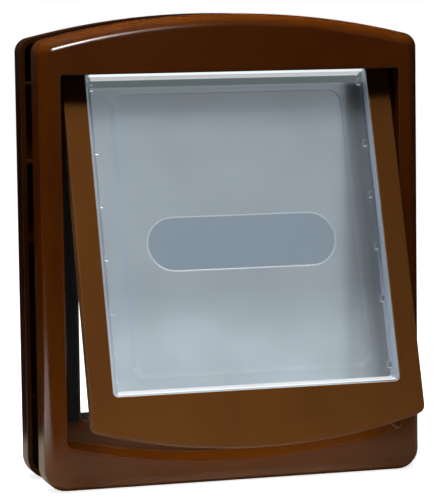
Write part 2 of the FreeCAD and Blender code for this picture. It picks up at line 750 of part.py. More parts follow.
def make_clear_panel():
    body = new_body("clear_panel")
    flange = facing_front(body, "flange_outline", flap_back)
    draw_outline(flange, panel_half + S.panel_flange, panel_low - S.panel_flange,
                 panel_high + S.panel_flange, S.window_corner + S.panel_flange,
                 S.window_corner + S.panel_flange)
    pad(body, "flange", flange, S.panel_plate - S.panel_gap)
    block = facing_front(body, "block_outline", flap_back)
    draw_outline(block, panel_half, panel_low, panel_high, S.window_corner, S.window_corner)
    pad(body, "block", block, S.flap_thickness - S.panel_set_back)
    # the tray: its walls slope in from the rim to the plate
    rim_y = flap_front + S.panel_set_back
    plate_y = flap_back - S.panel_plate
    mouth = facing_front(body, "tray_mouth", rim_y)
    draw_outline(mouth, panel_half - S.tray_rim, panel_low + S.tray_rim, panel_high - S.tray_rim,
                 S.tray_corner + S.tray_rim, S.tray_corner + S.tray_rim)
    bed = facing_front(body, "tray_bed", plate_y)
    draw_outline(bed, panel_half - S.tray_slope, panel_low + S.tray_slope, panel_high - S.tray_slope,
                 S.tray_corner, S.tray_corner)
    loft(body, "SubtractiveLoft", "tray", mouth, bed)
    # the raised field in the middle, hollow behind
    side = S.tray_slope + S.field_side_margin
    end = S.tray_slope + S.field_end_margin
    for sign, name, lift in ((1, "field", 0), (-1, "field_back", S.panel_plate)):
        foot = facing_front(body, name + "_foot", plate_y + lift)
        draw_outline(foot, panel_half - side, panel_low + end, panel_high - end,
                     S.field_corner, S.field_corner)
        crown = facing_front(body, name + "_crown", plate_y + lift - S.field_height)
        draw_outline(crown, panel_half - side - S.field_slope, panel_low + end + S.field_slope,
                     panel_high - end - S.field_slope, S.field_corner, S.field_corner)
        loft(body, "AdditiveLoft" if sign > 0 else "SubtractiveLoft", name, foot, crown)
    # the bare bar-shaped pad that stands proud of the field
    mark = facing_front(body, "pad_outline", plate_y - S.field_height)
    pad_half = panel_half - side - S.field_slope - S.pad_side_margin
    pad_middle = -(S.window_top + window_bottom) / 2 - S.pad_below_middle
    draw_stadium(mark, pad_half, pad_middle, S.pad_height)
    pad(body, "bar_pad", mark, S.pad_step)
    # catches on the two side walls, which click into the surround
    head_catch = -S.window_top - S.catch_head
    foot_catch = -window_bottom + S.catch_foot
    first = foot_catch + S.catch_tail
    catch = facing_front(body, "catch_outline", plate_y)
    end_catch = facing_front(body, "end_catch_outline", plate_y)
    for sign in (-1, 1):
        inner = sign * (panel_half - S.tray_slope - S.catch_depth)
        outer = sign * (panel_half - S.tray_slope / 2)
        left, right = (inner, outer) if sign > 0 else (outer, inner)
        draw_block(catch, left, right, first - S.catch_length / 2, first + S.catch_length / 2)
        for middle in (head_catch, foot_catch):
            draw_block(end_catch, left, right, middle - S.catch_length / 2, middle + S.catch_length / 2)
    pad(body, "end_catches", end_catch, S.catch_depth)
    lowest = pad(body, "catch", catch, S.catch_depth)
    row_of(body, "catches", lowest, "Z_Axis", head_catch - S.catch_lead - first, MIDDLE_CATCHES)
    return hang(body)


def make_hinge_pin(side, name):
    body = new_body("hinge_pin_" + name)
    half = new_sketch(body, "half_outline", "XY_Plane")
    start = flap_half - S.pin_in_flap
    end = opening_half + S.pin_in_frame
    bevel = S.pin_radius / 5
    draw_polygon(half, [(side * start, 0), (side * start, S.pin_radius - bevel),
                        (side * (start + bevel), S.pin_radius), (side * (end - bevel), S.pin_radius),
                        (side * end, S.pin_radius - bevel), (side * end, 0)])
    revolve(body, "pin", half, "H_Axis")
    return hang(body)


def make_magnet(label, middle_z, back_y, facing):
    """A bar magnet and the cover over it. They fill a seat whose mouth is at back_y."""
    magnet = new_body(label)
    outline = facing_front(magnet, "outline", back_y)
    draw_outline(outline, S.magnet_width / 2, middle_z - S.magnet_height / 2, middle_z + S.magnet_height / 2,
                 S.magnet_gap, S.magnet_gap)
    pad(magnet, "bar", outline, S.magnet_thickness, reversed=facing > 0)
    cover = new_body(label + "_cover")
    rim = S.magnet_width / 2 + S.cover_rim
    high = S.magnet_height / 2 + S.cover_rim
    plate = facing_front(cover, "outline", back_y - facing * S.cover_thickness)
    draw_outline(plate, rim, middle_z - high, middle_z + high, S.magnet_gap, S.magnet_gap)
    pad(cover, "plate", plate, S.cover_thickness, reversed=facing > 0)
    return magnet, cover


def make_magnets():
    for piece in make_magnet("flap_magnet", -magnet_under_hinge, flap_back - S.cover_thickness, -1):
        hang(piece)
    make_magnet("sill_magnet", magnet_z, S.rebate_face + S.cover_thickness, 1)


def strip_section(across, strip_thickness):
    """The T section of a pile strip: a flat backing and the narrower pile on it."""
    back = S.rebate_face
    step = S.rebate_face - S.strip_back
    face = S.rebate_face - strip_thickness
    low, high = across
    return [(low, back), (low, step), (low + S.pile_margin, step), (low + S.pile_margin, face),
            (high - S.pile_margin, face), (high - S.pile_margin, step), (high, step), (high, back)]


def make_weather_strips():
    """Pile strips up both sides of the tunnel and across its head."""
    thickness = S.rebate_face - flap_back_closed - S.strip_gap
    inner = tunnel_half + S.strip_set_in
    low = tunnel_floor - S.strip_set_in
    high = tunnel_ceiling + S.strip_set_in
    for side, name in ((-1, "left"), (1, "right")):
        body = new_body("weather_strip_" + name)
        near, far = side * inner, side * (inner + S.strip_width)
        across = (near, far) if side > 0 else (far, near)
        sketch = new_sketch(body, "section", "XY_Plane", low)
        draw_polygon(sketch, strip_section(across, thickness))
        pad(body, "strip", sketch, high - low)
    body = new_body("weather_strip_head")
    sketch = new_sketch(body, "section", "YZ_Plane")
    section = strip_section((high, high + S.strip_width), thickness)
    draw_polygon(sketch, [(y, z) for z, y in section])
    pad(body, "strip", sketch, 2 * inner, midplane=True)


def make_fixings():
    seat_y = S.door_thickness + S.frame_depth - S.cap_pocket
    for name, (x, z) in screw_spots.items():
        screw = new_body("fixing_screw_" + name)
        half = new_sketch(screw, "half_outline", "XY_Plane")
        tip = -(seat_y + S.screw_reach)
        crown = S.screw_head_radius - S.screw_slot
        draw_polygon(half, [(0, tip), (S.screw_radius / 2, tip), (S.screw_radius, tip + S.screw_radius),
                            (S.screw_radius, 0), (S.screw_head_radius, 0),
                            (S.screw_head_radius, S.screw_head_height - S.screw_slot),
                            (crown, S.screw_head_height), (0, S.screw_head_height)])
        revolve(screw, "turned", half, "V_Axis")
        cross = new_sketch(screw, "cross_outline", "XZ_Plane", -S.screw_head_height)
        arm, leaf = S.screw_head_radius / 2, S.screw_slot / 2
        draw_polygon(cross, [(-arm, -leaf), (-leaf, -leaf), (-leaf, -arm), (leaf, -arm), (leaf, -leaf),
                             (arm, -leaf), (arm, leaf), (leaf, leaf), (leaf, arm), (-leaf, arm),
                             (-leaf, leaf), (-arm, leaf)])
        pocket(screw, "cross", cross, S.screw_head_height / 2, to_normal=True)
        cap = new_body("screw_cap_" + name)
        shape = new_sketch(cap, "half_outline", "XY_Plane")
        rim = S.cap_thickness / 2
        draw_polygon(shape, [(0, 0), (S.cap_radius, 0), (S.cap_radius, rim),
                             (S.cap_radius - rim, S.cap_thickness), (0, S.cap_thickness)])
        revolve(cap, "disc", shape, "V_Axis")
        rise = {screw: seat_y, cap: S.door_thickness + S.frame_depth - S.cap_thickness}
        for body, y in rise.items():
            bind(body, "Placement.Base.x", x)
            bind(body, "Placement.Base.y", y)
            bind(body, "Placement.Base.z", z)


make_front_frame()
make_rear_frame()
make_tunnel_liner()
make_flap_surround()
make_clear_panel()
make_hinge_pin(-1, "left")
make_hinge_pin(1, "right")
make_magnets()
make_weather_strips()
make_fixings()
doc.recompute()

# Check every object and write each sub-part

for item in doc.Objects:
    if {"Invalid", "Error"} & set(item.State):
        raise RuntimeError("%s (%s) failed: %s" % (item.Name, item.TypeId, item.State))
os.makedirs("parts", exist_ok=True)
for body in (item for item in doc.Objects if item.TypeId == "PartDesign::Body"):
    if body.Shape.isNull() or not body.Shape.isValid() or len(body.Shape.Solids) != 1:
        raise RuntimeError("%s has no sound solid" % body.Label)
    body.Shape.exportStep("parts/%s.step" % body.Label)
    box = body.Shape.BoundBox
    print("%-28s %9.0f mm3  X %7.2f %7.2f  Y %7.2f %7.2f  Z %7.2f %7.2f" % (
        body.Label, body.Shape.Volume, box.XMin, box.XMax, box.YMin, box.YMax, box.ZMin, box.ZMax))
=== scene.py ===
# %% [markdown]
# A cat flap in Blender: two brown moulded frames, a black tunnel between them and a hanging flap with a
# hazy clear panel. The solids come from CAD at their real size, in metres. This lesson gives every one of
# them a finish, adds the soft and fine pieces that CAD leaves plain, and lights it like a product photo.
# We start from an empty scene, so that nothing but the object counts in its measured box.

# %% Load the frame
import json
import math
import random

import bpy
from mathutils import Matrix, Vector

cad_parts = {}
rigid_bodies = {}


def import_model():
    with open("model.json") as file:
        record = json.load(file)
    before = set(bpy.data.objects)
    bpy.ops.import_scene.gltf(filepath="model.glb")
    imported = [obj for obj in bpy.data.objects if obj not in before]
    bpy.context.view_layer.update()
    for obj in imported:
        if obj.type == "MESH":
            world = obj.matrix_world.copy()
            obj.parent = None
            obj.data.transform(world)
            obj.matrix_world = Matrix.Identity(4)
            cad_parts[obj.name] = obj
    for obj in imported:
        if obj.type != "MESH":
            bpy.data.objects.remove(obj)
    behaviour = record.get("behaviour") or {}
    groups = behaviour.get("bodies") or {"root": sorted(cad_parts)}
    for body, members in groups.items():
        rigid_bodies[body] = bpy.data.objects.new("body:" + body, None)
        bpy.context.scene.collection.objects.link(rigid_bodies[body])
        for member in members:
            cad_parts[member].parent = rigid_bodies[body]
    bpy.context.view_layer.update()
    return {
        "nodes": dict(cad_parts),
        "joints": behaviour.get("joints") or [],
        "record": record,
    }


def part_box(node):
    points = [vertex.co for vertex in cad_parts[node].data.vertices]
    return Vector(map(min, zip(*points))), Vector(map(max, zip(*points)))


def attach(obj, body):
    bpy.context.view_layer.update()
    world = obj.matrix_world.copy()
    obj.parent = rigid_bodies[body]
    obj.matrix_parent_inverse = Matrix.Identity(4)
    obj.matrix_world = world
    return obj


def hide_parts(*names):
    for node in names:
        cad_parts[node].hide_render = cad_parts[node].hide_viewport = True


for thing in list(bpy.data.objects):
    bpy.data.objects.remove(thing)

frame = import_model()

MM = 0.001
scene = bpy.context.scene
hinge = frame["joints"][0]
hinge_spot = Vector(hinge["pos_m"])
open_angle = -math.radians(hinge["range_deg"][0])
print("the flap stands open by %.2f degrees" % math.degrees(open_angle))

# %% [markdown]
# The camera comes first, because every later choice is judged through it. It stands a little to the left
# of the object and a little above it, with a long lens, so upright edges stay nearly parallel. Its place
# and angles are real ones, worked out beforehand from the proportions of the frame in the picture. The
# sensor is fitted to the height of the picture, which keeps the same view at any width.

# %% Camera
CAMERA_SPOT = Vector((-0.38436, -1.27573, 0.24688))
HEADING = math.radians(16.633)
PITCH = math.radians(5.601)
ROLL = math.radians(-0.765)
SENSOR = 36.0
LENS = 189.66


def camera_turn(heading, pitch, roll):
    """Rotation of a camera that looks along +Y turned by heading, and down by pitch."""
    ahead = Vector((math.sin(heading) * math.cos(pitch), math.cos(heading) * math.cos(pitch),
                    -math.sin(pitch)))
    level = Vector((math.cos(heading), -math.sin(heading), 0))
    above = level.cross(ahead)
    right = math.cos(roll) * level + math.sin(roll) * above
    up = math.cos(roll) * above - math.sin(roll) * level
    return Matrix((right, up, -ahead)).transposed()


camera = bpy.data.objects.new("camera", bpy.data.cameras.new("camera"))
camera.data.sensor_fit = "VERTICAL"
camera.data.sensor_height = SENSOR
camera.data.lens = LENS
camera.matrix_world = Matrix.Translation(CAMERA_SPOT) @ camera_turn(HEADING, PITCH, ROLL).to_4x4()
scene.collection.objects.link(camera)
scene.camera = camera
print("camera %.2f m from the origin" % CAMERA_SPOT.length)

# %% [markdown]
# Materials are networks of nodes. A few helpers keep the cells below short: one adds a node and sets its
# inputs by name, or by number where several share a name, one starts a material with its Principled shader,
# and one starts a node group with named sockets. Colours are linear values from 0 to 1, as the renderer
# works with them, so they look darker when read as numbers than they do on a screen.

# %% Node helpers


def add_node(tree, kind, settings=None, **inputs):
    """A new node. Inputs are set by name, with _ for a space, or as i0, i1: a value or another's output."""
    node = tree.nodes.new(kind)
    for name, value in (settings or {}).items():
        setattr(node, name, value)
    for name, value in inputs.items():
        socket = node.inputs[int(name[1:])] if name[0] == "i" and name[1:].isdigit() else \
            node.inputs[name.replace("_", " ")]
        if isinstance(value, bpy.types.NodeSocket):
            tree.links.new(value, socket)
        else:
            socket.default_value = value
    return node


def calculate(tree, operation, first, second=0.0, clamp=False):
    """The output of a Math node."""
    settings = {"operation": operation, "use_clamp": clamp}
    return add_node(tree, "ShaderNodeMath", settings, i0=first, i1=second).outputs[0]


def blend_colours(tree, factor, first, second):
    """The colour output of a Mix node, whose colour sockets are numbers 6 and 7."""
    return add_node(tree, "ShaderNodeMix", {"data_type": "RGBA"}, i0=factor, i6=first, i7=second).outputs[2]


def new_material(name):
    """A material with its Principled shader and the object's own coordinates."""
    material = bpy.data.materials.new(name)
    material.use_nodes = True
    tree = material.node_tree
    shader = tree.nodes["Principled BSDF"]
    place = add_node(tree, "ShaderNodeTexCoord").outputs["Object"]
    return material, tree, shader, place


SOCKETS = {"value": "NodeSocketFloat", "vector": "NodeSocketVector", "colour": "NodeSocketColor"}


def new_group(name, inputs, outputs):
    """A shader node group with named sockets, and the inner ends of its inputs and outputs."""
    group = bpy.data.node_groups.new(name, "ShaderNodeTree")
    for label, kind in inputs:
        group.interface.new_socket(name=label, in_out="INPUT", socket_type=SOCKETS[kind])
    for label, kind in outputs:
        group.interface.new_socket(name=label, in_out="OUTPUT", socket_type=SOCKETS[kind])
    entry = group.nodes.new("NodeGroupInput").outputs
    leave = group.nodes.new("NodeGroupOutput").inputs
    return group, entry, leave


def use_group(tree, group, **inputs):
    """The outputs of a node group placed in a material with its own values."""
    return add_node(tree, "ShaderNodeGroup", {"node_tree": group}, **inputs).outputs


print("helpers ready")

# %% [markdown]
# Moulded plastic is never quite flat. The melt leaves long shallow flow waves, which bend the reflections
# of straight lamps, and the tool's own texture adds a fine grain. Both are one effect at two scales, so
# they are one node group: every plastic below places it with its own depth and size.

# %% Group: moulded skin
GRAIN_DETAIL = 3.0
GRAIN_ROUGHNESS = 0.6
FLOW_DETAIL = 1.0
FLOW_STRETCH = (1.0, 1.0, 0.35)     # a smaller number makes longer waves, here along Z

moulded_skin, entry, leave = new_group(
    "moulded_skin",
    [("Place", "vector"), ("Grain Size", "value"), ("Grain", "value"), ("Flow Size", "value"),
     ("Flow", "value")],
    [("Height", "value"), ("Mask", "value")])
fine = add_node(moulded_skin, "ShaderNodeTexNoise", Vector=entry["Place"], Detail=GRAIN_DETAIL,
                Roughness=GRAIN_ROUGHNESS, Scale=calculate(moulded_skin, "DIVIDE", 1.0, entry["Grain Size"]))
stretched = add_node(moulded_skin, "ShaderNodeMapping", Vector=entry["Place"], Scale=FLOW_STRETCH)
waves = add_node(moulded_skin, "ShaderNodeTexNoise", Vector=stretched.outputs[0], Detail=FLOW_DETAIL,
                 Scale=calculate(moulded_skin, "DIVIDE", 1.0, entry["Flow Size"]))
grain_height = calculate(moulded_skin, "MULTIPLY", fine.outputs["Fac"], entry["Grain"])
flow_height = calculate(moulded_skin, "MULTIPLY", waves.outputs["Fac"], entry["Flow"])
moulded_skin.links.new(calculate(moulded_skin, "ADD", grain_height, flow_height), leave["Height"])
moulded_skin.links.new(waves.outputs["Fac"], leave["Mask"])
print("moulded_skin:", len(moulded_skin.nodes), "nodes")

# %% [markdown]
# No real edge is perfectly sharp. Half a millimetre of rounding or less catches the lamps as a thin light
# line. The Bevel node rounds the shading there without changing the mesh. Where its normal departs from the
# surface's own, there is an edge, and that difference is our mask. The materials paint that light line into
# their colour along this mask, as a painted highlight.

# %% Group: edge line
BEVEL_SAMPLES = 6

edge_line, entry, leave = new_group(
    "edge_line", [("Radius", "value"), ("Strength", "value")], [("Mask", "value"), ("Normal", "vector")])
soft = add_node(edge_line, "ShaderNodeBevel", {"samples": BEVEL_SAMPLES}, Radius=entry["Radius"])
own = add_node(edge_line, "ShaderNodeNewGeometry")
agree = add_node(edge_line, "ShaderNodeVectorMath", {"operation": "DOT_PRODUCT"},
                 i0=soft.outputs[0], i1=own.outputs["Normal"])
depart = calculate(edge_line, "SUBTRACT", 1.0, agree.outputs["Value"])
edge_line.links.new(calculate(edge_line, "MULTIPLY", depart, entry["Strength"], clamp=True), leave["Mask"])
edge_line.links.new(soft.outputs[0], leave["Normal"])
print("edge_line:", len(edge_line.nodes), "nodes")

# %% [markdown]
# Pigment in a moulding drifts a little: where the melt meets or cools late, the brown is a shade darker or
# warmer. This group shifts a colour's lightness and hue slowly over the surface. It is used at a low
# amount, so that it is felt and not seen.

# %% Group: tone drift
CLOUD_DETAIL = 2.0
HUE_SHARE = 0.04                    # how far the hue turns for a full swing of lightness

tone_drift, entry, leave = new_group(
    "tone_drift", [("Place", "vector"), ("Color", "colour"), ("Size", "value"), ("Amount", "value")],
    [("Color", "colour")])
cloud = add_node(tone_drift, "ShaderNodeTexNoise", Vector=entry["Place"], Detail=CLOUD_DETAIL,
                 Scale=calculate(tone_drift, "DIVIDE", 1.0, entry["Size"]))
swing = calculate(tone_drift, "MULTIPLY", calculate(tone_drift, "SUBTRACT", cloud.outputs["Fac"], 0.5),
                  entry["Amount"])
shift = add_node(tone_drift, "ShaderNodeHueSaturation", Color=entry["Color"],
                 Value=calculate(tone_drift, "ADD", 1.0, swing),
                 Hue=calculate(tone_drift, "ADD", 0.5, calculate(tone_drift, "MULTIPLY", swing, HUE_SHARE)))
tone_drift.links.new(shift.outputs[0], leave["Color"])
print("tone_drift:", len(tone_drift.nodes), "nodes")

# %% [markdown]
# The frames and the flap's surround are brown plastic. The frames are glossy and deep in colour, and the
# surround has a satin finish, which spreads the lamps' light. Its brown is also painted lighter than the
# frames', as painted light for the light that the tilted flap catches. The rear frame is glossy too, and
# painted a darker shade, as painted shade. The three differ only in numbers, so one function makes them all.
# The gloss is never perfect: its roughness changes slowly over the flow waves, so that a lamp's reflection
# is a soft streak and not a mirror image.

# %% Materials: brown plastic
BROWN_GRAIN_SIZE = 0.7 * MM
BROWN_FLOW_SIZE = 26 * MM
BROWN_EDGE = 0.5 * MM
BROWN_CLOUD_SIZE = 30 * MM
BROWN_CLOUD = 0.3
BROWN_ROUGH_SWING = 0.1             # over the flow waves, centred on the finish's own roughness
BROWN_BUMP = 0.35


def brown_plastic(name, base, edge_highlight_tone, edge_highlight, roughness, gloss, grain, flow):
    """A brown plastic with its own painted edge highlight, roughness, gloss level, grain and depth of flow
    waves.
    """
    material, tree, shader, place = new_material(name)
    skin = use_group(tree, moulded_skin, Place=place, Grain_Size=BROWN_GRAIN_SIZE, Grain=grain,
                     Flow_Size=BROWN_FLOW_SIZE, Flow=flow)
    edge = use_group(tree, edge_line, Radius=BROWN_EDGE, Strength=edge_highlight)
    toned = use_group(tree, tone_drift, Place=place, Color=base, Size=BROWN_CLOUD_SIZE, Amount=BROWN_CLOUD)
    # Painted highlight: the colour turns toward the edge tone along the edge mask.
    tree.links.new(blend_colours(tree, edge["Mask"], toned["Color"], edge_highlight_tone), shader.inputs["Base Color"])
    rough = calculate(tree, "MULTIPLY", skin["Mask"], BROWN_ROUGH_SWING)
    tree.links.new(calculate(tree, "ADD", roughness - BROWN_ROUGH_SWING / 2, rough),
                   shader.inputs["Roughness"])
    bump = add_node(tree, "ShaderNodeBump", Height=skin["Height"], Normal=edge["Normal"],
                    Strength=BROWN_BUMP, Distance=1.0)
    tree.links.new(bump.outputs[0], shader.inputs["Normal"])
    shader.inputs["Specular IOR Level"].default_value = gloss
    print(name, "has", len(tree.nodes), "nodes")
    return material


brown = brown_plastic("brown_plastic", base=[0.060, 0.0138, 0.0007, 1.0],
                      edge_highlight_tone=[0.18, 0.085, 0.04, 1.0], edge_highlight=2.0, roughness=0.15, gloss=0.5,
                      grain=0.004 * MM, flow=0.08 * MM)
# Painted light: a lighter brown than the frames', and a near white painted highlight on the edges.
satin_painted_light = brown_plastic("brown_plastic_satin", base=[0.106, 0.038, 0.0085, 1.0],
                      edge_highlight_tone=[0.65, 0.52, 0.40, 1.0], edge_highlight=5.0, roughness=0.5, gloss=0.06,
                      grain=0.05 * MM, flow=0.05 * MM)
# Painted shade: the same brown painted darker for the rear frame.
rear_painted_shade = brown_plastic("brown_plastic_rear_painted_shade", base=[0.032, 0.0085, 0.001, 1.0],
                       edge_highlight_tone=[0.12, 0.07, 0.04, 1.0], edge_highlight=2.0, roughness=0.2, gloss=0.4,
                       grain=0.02 * MM, flow=0.08 * MM)

# %% [markdown]
# The tunnel is a cheaper, matt black moulding. It needs more grain and less gloss, and almost no colour of
# its own, because in the picture the gap beside the flap is nearly pure black.

# %% Material: black plastic
BLACK = [0.012, 0.012, 0.013, 1.0]
BLACK_EDGE_HIGHLIGHT = [0.05, 0.05, 0.052, 1.0]
BLACK_ROUGHNESS = 0.42
BLACK_ROUGH_SWING = 0.12
BLACK_BUMP = 0.5

black, tree, shader, place = new_material("black_plastic")
skin = use_group(tree, moulded_skin, Place=place, Grain_Size=0.9 * MM, Grain=0.08 * MM,
                 Flow_Size=30 * MM, Flow=0.1 * MM)
edge = use_group(tree, edge_line, Radius=0.3 * MM, Strength=1.2)
toned = use_group(tree, tone_drift, Place=place, Color=BLACK, Size=30 * MM, Amount=0.3)
# Painted highlight: a lighter grey along the edge mask.
tree.links.new(blend_colours(tree, edge["Mask"], toned["Color"], BLACK_EDGE_HIGHLIGHT), shader.inputs["Base Color"])
rough = calculate(tree, "MULTIPLY", skin["Mask"], BLACK_ROUGH_SWING)
tree.links.new(calculate(tree, "ADD", BLACK_ROUGHNESS, rough), shader.inputs["Roughness"])
bump = add_node(tree, "ShaderNodeBump", Height=skin["Height"], Normal=edge["Normal"], Strength=BLACK_BUMP,
                Distance=1.0)
tree.links.new(bump.outputs[0], shader.inputs["Normal"])
print(black.name, "has", len(tree.nodes), "nodes")

# %% [markdown]
# The panel is clear plastic that has gone hazy: light from behind comes through it, but nothing behind it
# can be made out. That is partly a rough transmission, which blurs what is behind, and partly a scatter
# in the plastic itself, which the lamps in front light up. The bar-shaped pad in the middle is smoother
# than the field round it, so it scatters less and looks darker. The bright line where its edge bends the
# light is a painted highlight. A group works out both masks from the flap's own coordinates, so they stay
# put when it swings.

# %% Group: bar mask
bar_mask, entry, leave = new_group(
    "bar_mask",
    [("Place", "vector"), ("Half Length", "value"), ("Radius", "value"), ("Line", "value")],
    [("Inside", "value"), ("Outline", "value")])
parts = add_node(bar_mask, "ShaderNodeSeparateXYZ", Vector=entry["Place"]).outputs
straight = calculate(bar_mask, "SUBTRACT", entry["Half Length"], entry["Radius"])
beyond = calculate(bar_mask, "SUBTRACT", calculate(bar_mask, "ABSOLUTE", parts["X"]), straight)
across = add_node(bar_mask, "ShaderNodeCombineXYZ", X=calculate(bar_mask, "MAXIMUM", beyond, 0.0),
                  Y=parts["Z"])
reach = add_node(bar_mask, "ShaderNodeVectorMath", {"operation": "LENGTH"}, i0=across.outputs[0])
outside = calculate(bar_mask, "SUBTRACT", reach.outputs["Value"], entry["Radius"])
bar_mask.links.new(calculate(bar_mask, "LESS_THAN", outside, 0.0), leave["Inside"])
near = calculate(bar_mask, "DIVIDE", calculate(bar_mask, "ABSOLUTE", outside), entry["Line"])
bar_mask.links.new(calculate(bar_mask, "SUBTRACT", 1.0, near, clamp=True), leave["Outline"])
print("bar_mask:", len(bar_mask.nodes), "nodes")

# %% [markdown]
# The panel paints light and shade on its tilted parts: the tray's top and bottom walls and the slopes of its
# raised field get painted highlights, lighter than its flat parts, and its side walls a painted shade. This
# group compares a surface's normal with one direction and gives a mask that rises from 0 at the first slope
# to 1 at the second.

# %% Group: slope mask
slope_mask, entry, leave = new_group(
    "slope_mask", [("Normal", "vector"), ("Front", "vector"), ("Flat", "value"), ("Steep", "value")],
    [("Mask", "value")])
along = add_node(slope_mask, "ShaderNodeVectorMath", {"operation": "DOT_PRODUCT"}, i0=entry["Normal"],
                 i1=entry["Front"])
level = calculate(slope_mask, "ABSOLUTE", along.outputs["Value"])
ramp = add_node(slope_mask, "ShaderNodeMapRange", {"interpolation_type": "SMOOTHSTEP"}, Value=level,
                From_Min=entry["Flat"], From_Max=entry["Steep"], To_Min=0.0, To_Max=1.0)
slope_mask.links.new(ramp.outputs[0], leave["Mask"])
print("slope_mask:", len(slope_mask.nodes), "nodes")

# %% [markdown]
# The panel's own masks come first. The bar is placed from the hinge line, turned back by the angle at which
# the flap stands open. The slope masks use the panel's front for its raised field, its upward direction for
# the tray's top and bottom walls, and X for the side walls.

# %% Clear panel: masks
PAD_MIDDLE = -90.6 * MM             # along the flap, from the hinge line
PAD_HALF = 48.8 * MM
PAD_RADIUS = 13.5 * MM
PAD_LINE_WIDTH = 0.5 * MM
PANEL_EDGE = 0.3 * MM
# Painted highlight: the strength of the edge mask that carries the glow along the panel's edges.
PANEL_EDGE_HIGHLIGHT = 2.5

clear, tree, shader, place = new_material("clear_plastic")
pad_spot = add_node(tree, "ShaderNodeMapping", {"vector_type": "TEXTURE"}, Vector=place,
                    Location=hinge_spot, Rotation=(-open_angle, 0.0, 0.0))
pad_place = add_node(tree, "ShaderNodeMapping", {"vector_type": "TEXTURE"}, Vector=pad_spot.outputs[0],
                     Location=(0.0, 0.0, PAD_MIDDLE))
pad = use_group(tree, bar_mask, Place=pad_place.outputs[0], Half_Length=PAD_HALF, Radius=PAD_RADIUS,
                Line=PAD_LINE_WIDTH)
own_normal = add_node(tree, "ShaderNodeTexCoord").outputs["Normal"]
panel_front = (0.0, -math.cos(open_angle), math.sin(open_angle))
panel_up = (0.0, math.sin(open_angle), math.cos(open_angle))
slope = use_group(tree, slope_mask, Normal=own_normal, Front=panel_front, Flat=0.985, Steep=0.93)
wall = use_group(tree, slope_mask, Normal=own_normal, Front=panel_up, Flat=0.55, Steep=0.8)
side = use_group(tree, slope_mask, Normal=own_normal, Front=(1.0, 0.0, 0.0), Flat=0.3, Steep=0.5)
edge = use_group(tree, edge_line, Radius=PANEL_EDGE, Strength=PANEL_EDGE_HIGHLIGHT)
print("the panel's bar is %.1f by %.1f mm" % (2 * PAD_HALF / MM, 2 * PAD_RADIUS / MM))

# %% [markdown]
# Colour and surface follow from the masks. The haze drifts a little in tone. The pad is darker. The side
# walls get a darker, bluer colour, a painted shade with a painted reflection in it, and the pad's outline
# is painted nearly white, as a painted highlight. Glass keeps a plain transmission, and only its roughness
# varies.

# %% Clear panel: colour and surface
HAZE = [0.545, 0.635, 0.705, 1.0]
PAD_HAZE = [0.43, 0.52, 0.61, 1.0]
PAD_LINE_PAINTED_HIGHLIGHT = [0.95, 0.97, 1.0, 1.0]
SIDE_WALL_PAINTED_SHADE = [0.33, 0.42, 0.58, 1.0]
PANEL_ROUGHNESS = 0.18
PANEL_ROUGH_SWING = 0.05
PANEL_BUMP = 0.15

skin = use_group(tree, moulded_skin, Place=place, Grain_Size=0.5 * MM, Grain=0.012 * MM,
                 Flow_Size=30 * MM, Flow=0.0)
toned = use_group(tree, tone_drift, Place=place, Color=HAZE, Size=60 * MM, Amount=0.2)
hazy = blend_colours(tree, pad["Inside"], toned["Color"], PAD_HAZE)
# Painted shade and reflection: the side walls turn darker and bluer.
hazy = blend_colours(tree, side["Mask"], hazy, SIDE_WALL_PAINTED_SHADE)
# Painted highlight: the pad's outline turns nearly white.
tree.links.new(blend_colours(tree, pad["Outline"], hazy, PAD_LINE_PAINTED_HIGHLIGHT), shader.inputs["Base Color"])
rough = calculate(tree, "MULTIPLY", skin["Mask"], PANEL_ROUGH_SWING)
tree.links.new(calculate(tree, "ADD", PANEL_ROUGHNESS, rough), shader.inputs["Roughness"])
bump = add_node(tree, "ShaderNodeBump", Height=skin["Height"], Strength=PANEL_BUMP, Distance=1.0)
tree.links.new(bump.outputs[0], shader.inputs["Normal"])
shader.inputs["IOR"].default_value = 1.49
shader.inputs["Transmission Weight"].default_value = 0.94
print(clear.name, "has colour and surface")

# %% [markdown]
# The haze also gets a weak emission, which is painted light for the light that the lamps and the table give
# it. It grows toward the lower end, where the plastic faces the bright table. It nearly fades out at the
# head, a painted shadow of the frame on the panel, and is weaker in the right-hand band, as painted shade,
# and on the pad. The groove under the top wall gets more painted light, and the panel's edges, the pad's
# outline and the tray's top and bottom walls get painted highlights. The distances are the pad's own, with Z
# along the flap and X across it.

# %% Clear panel: glow
# Painted light and painted highlights: the emission colours of the panel.
HAZE_PAINTED_LIGHT = [0.098, 0.108, 0.115, 1.0]
PAD_PAINTED_LIGHT = [0.05, 0.06, 0.07, 1.0]
GROOVE_PAINTED_LIGHT = [0.055, 0.066, 0.064, 1.0]
EDGE_PAINTED_HIGHLIGHT = [0.06, 0.07, 0.085, 1.0]
LINE_PAINTED_HIGHLIGHT = [0.06, 0.066, 0.072, 1.0]
WALL_PAINTED_HIGHLIGHT = [0.44, 0.44, 0.44, 1.0]
HEAD_PAINTED_SHADOW = (74 * MM, 56 * MM)       # where the head's fade ends and where it begins
HEAD_PAINTED_SHADOW_LEAST = 0.3
BAND_PAINTED_SHADE = (67 * MM, 56 * MM)     # the same for the right-hand band
BAND_PAINTED_SHADE_LEAST = 0.35
GLOW_LENGTH = (-20 * MM, -56 * MM)  # the glow grows between these
GLOW_GAIN = (0.62, 1.4)
SLOPE_PAINTED_LIGHT = 0.25                   # more on the raised field's slopes
GROOVE = (79 * MM, 81 * MM)         # the groove under the top wall

parts = add_node(tree, "ShaderNodeSeparateXYZ", Vector=pad_place.outputs[0]).outputs
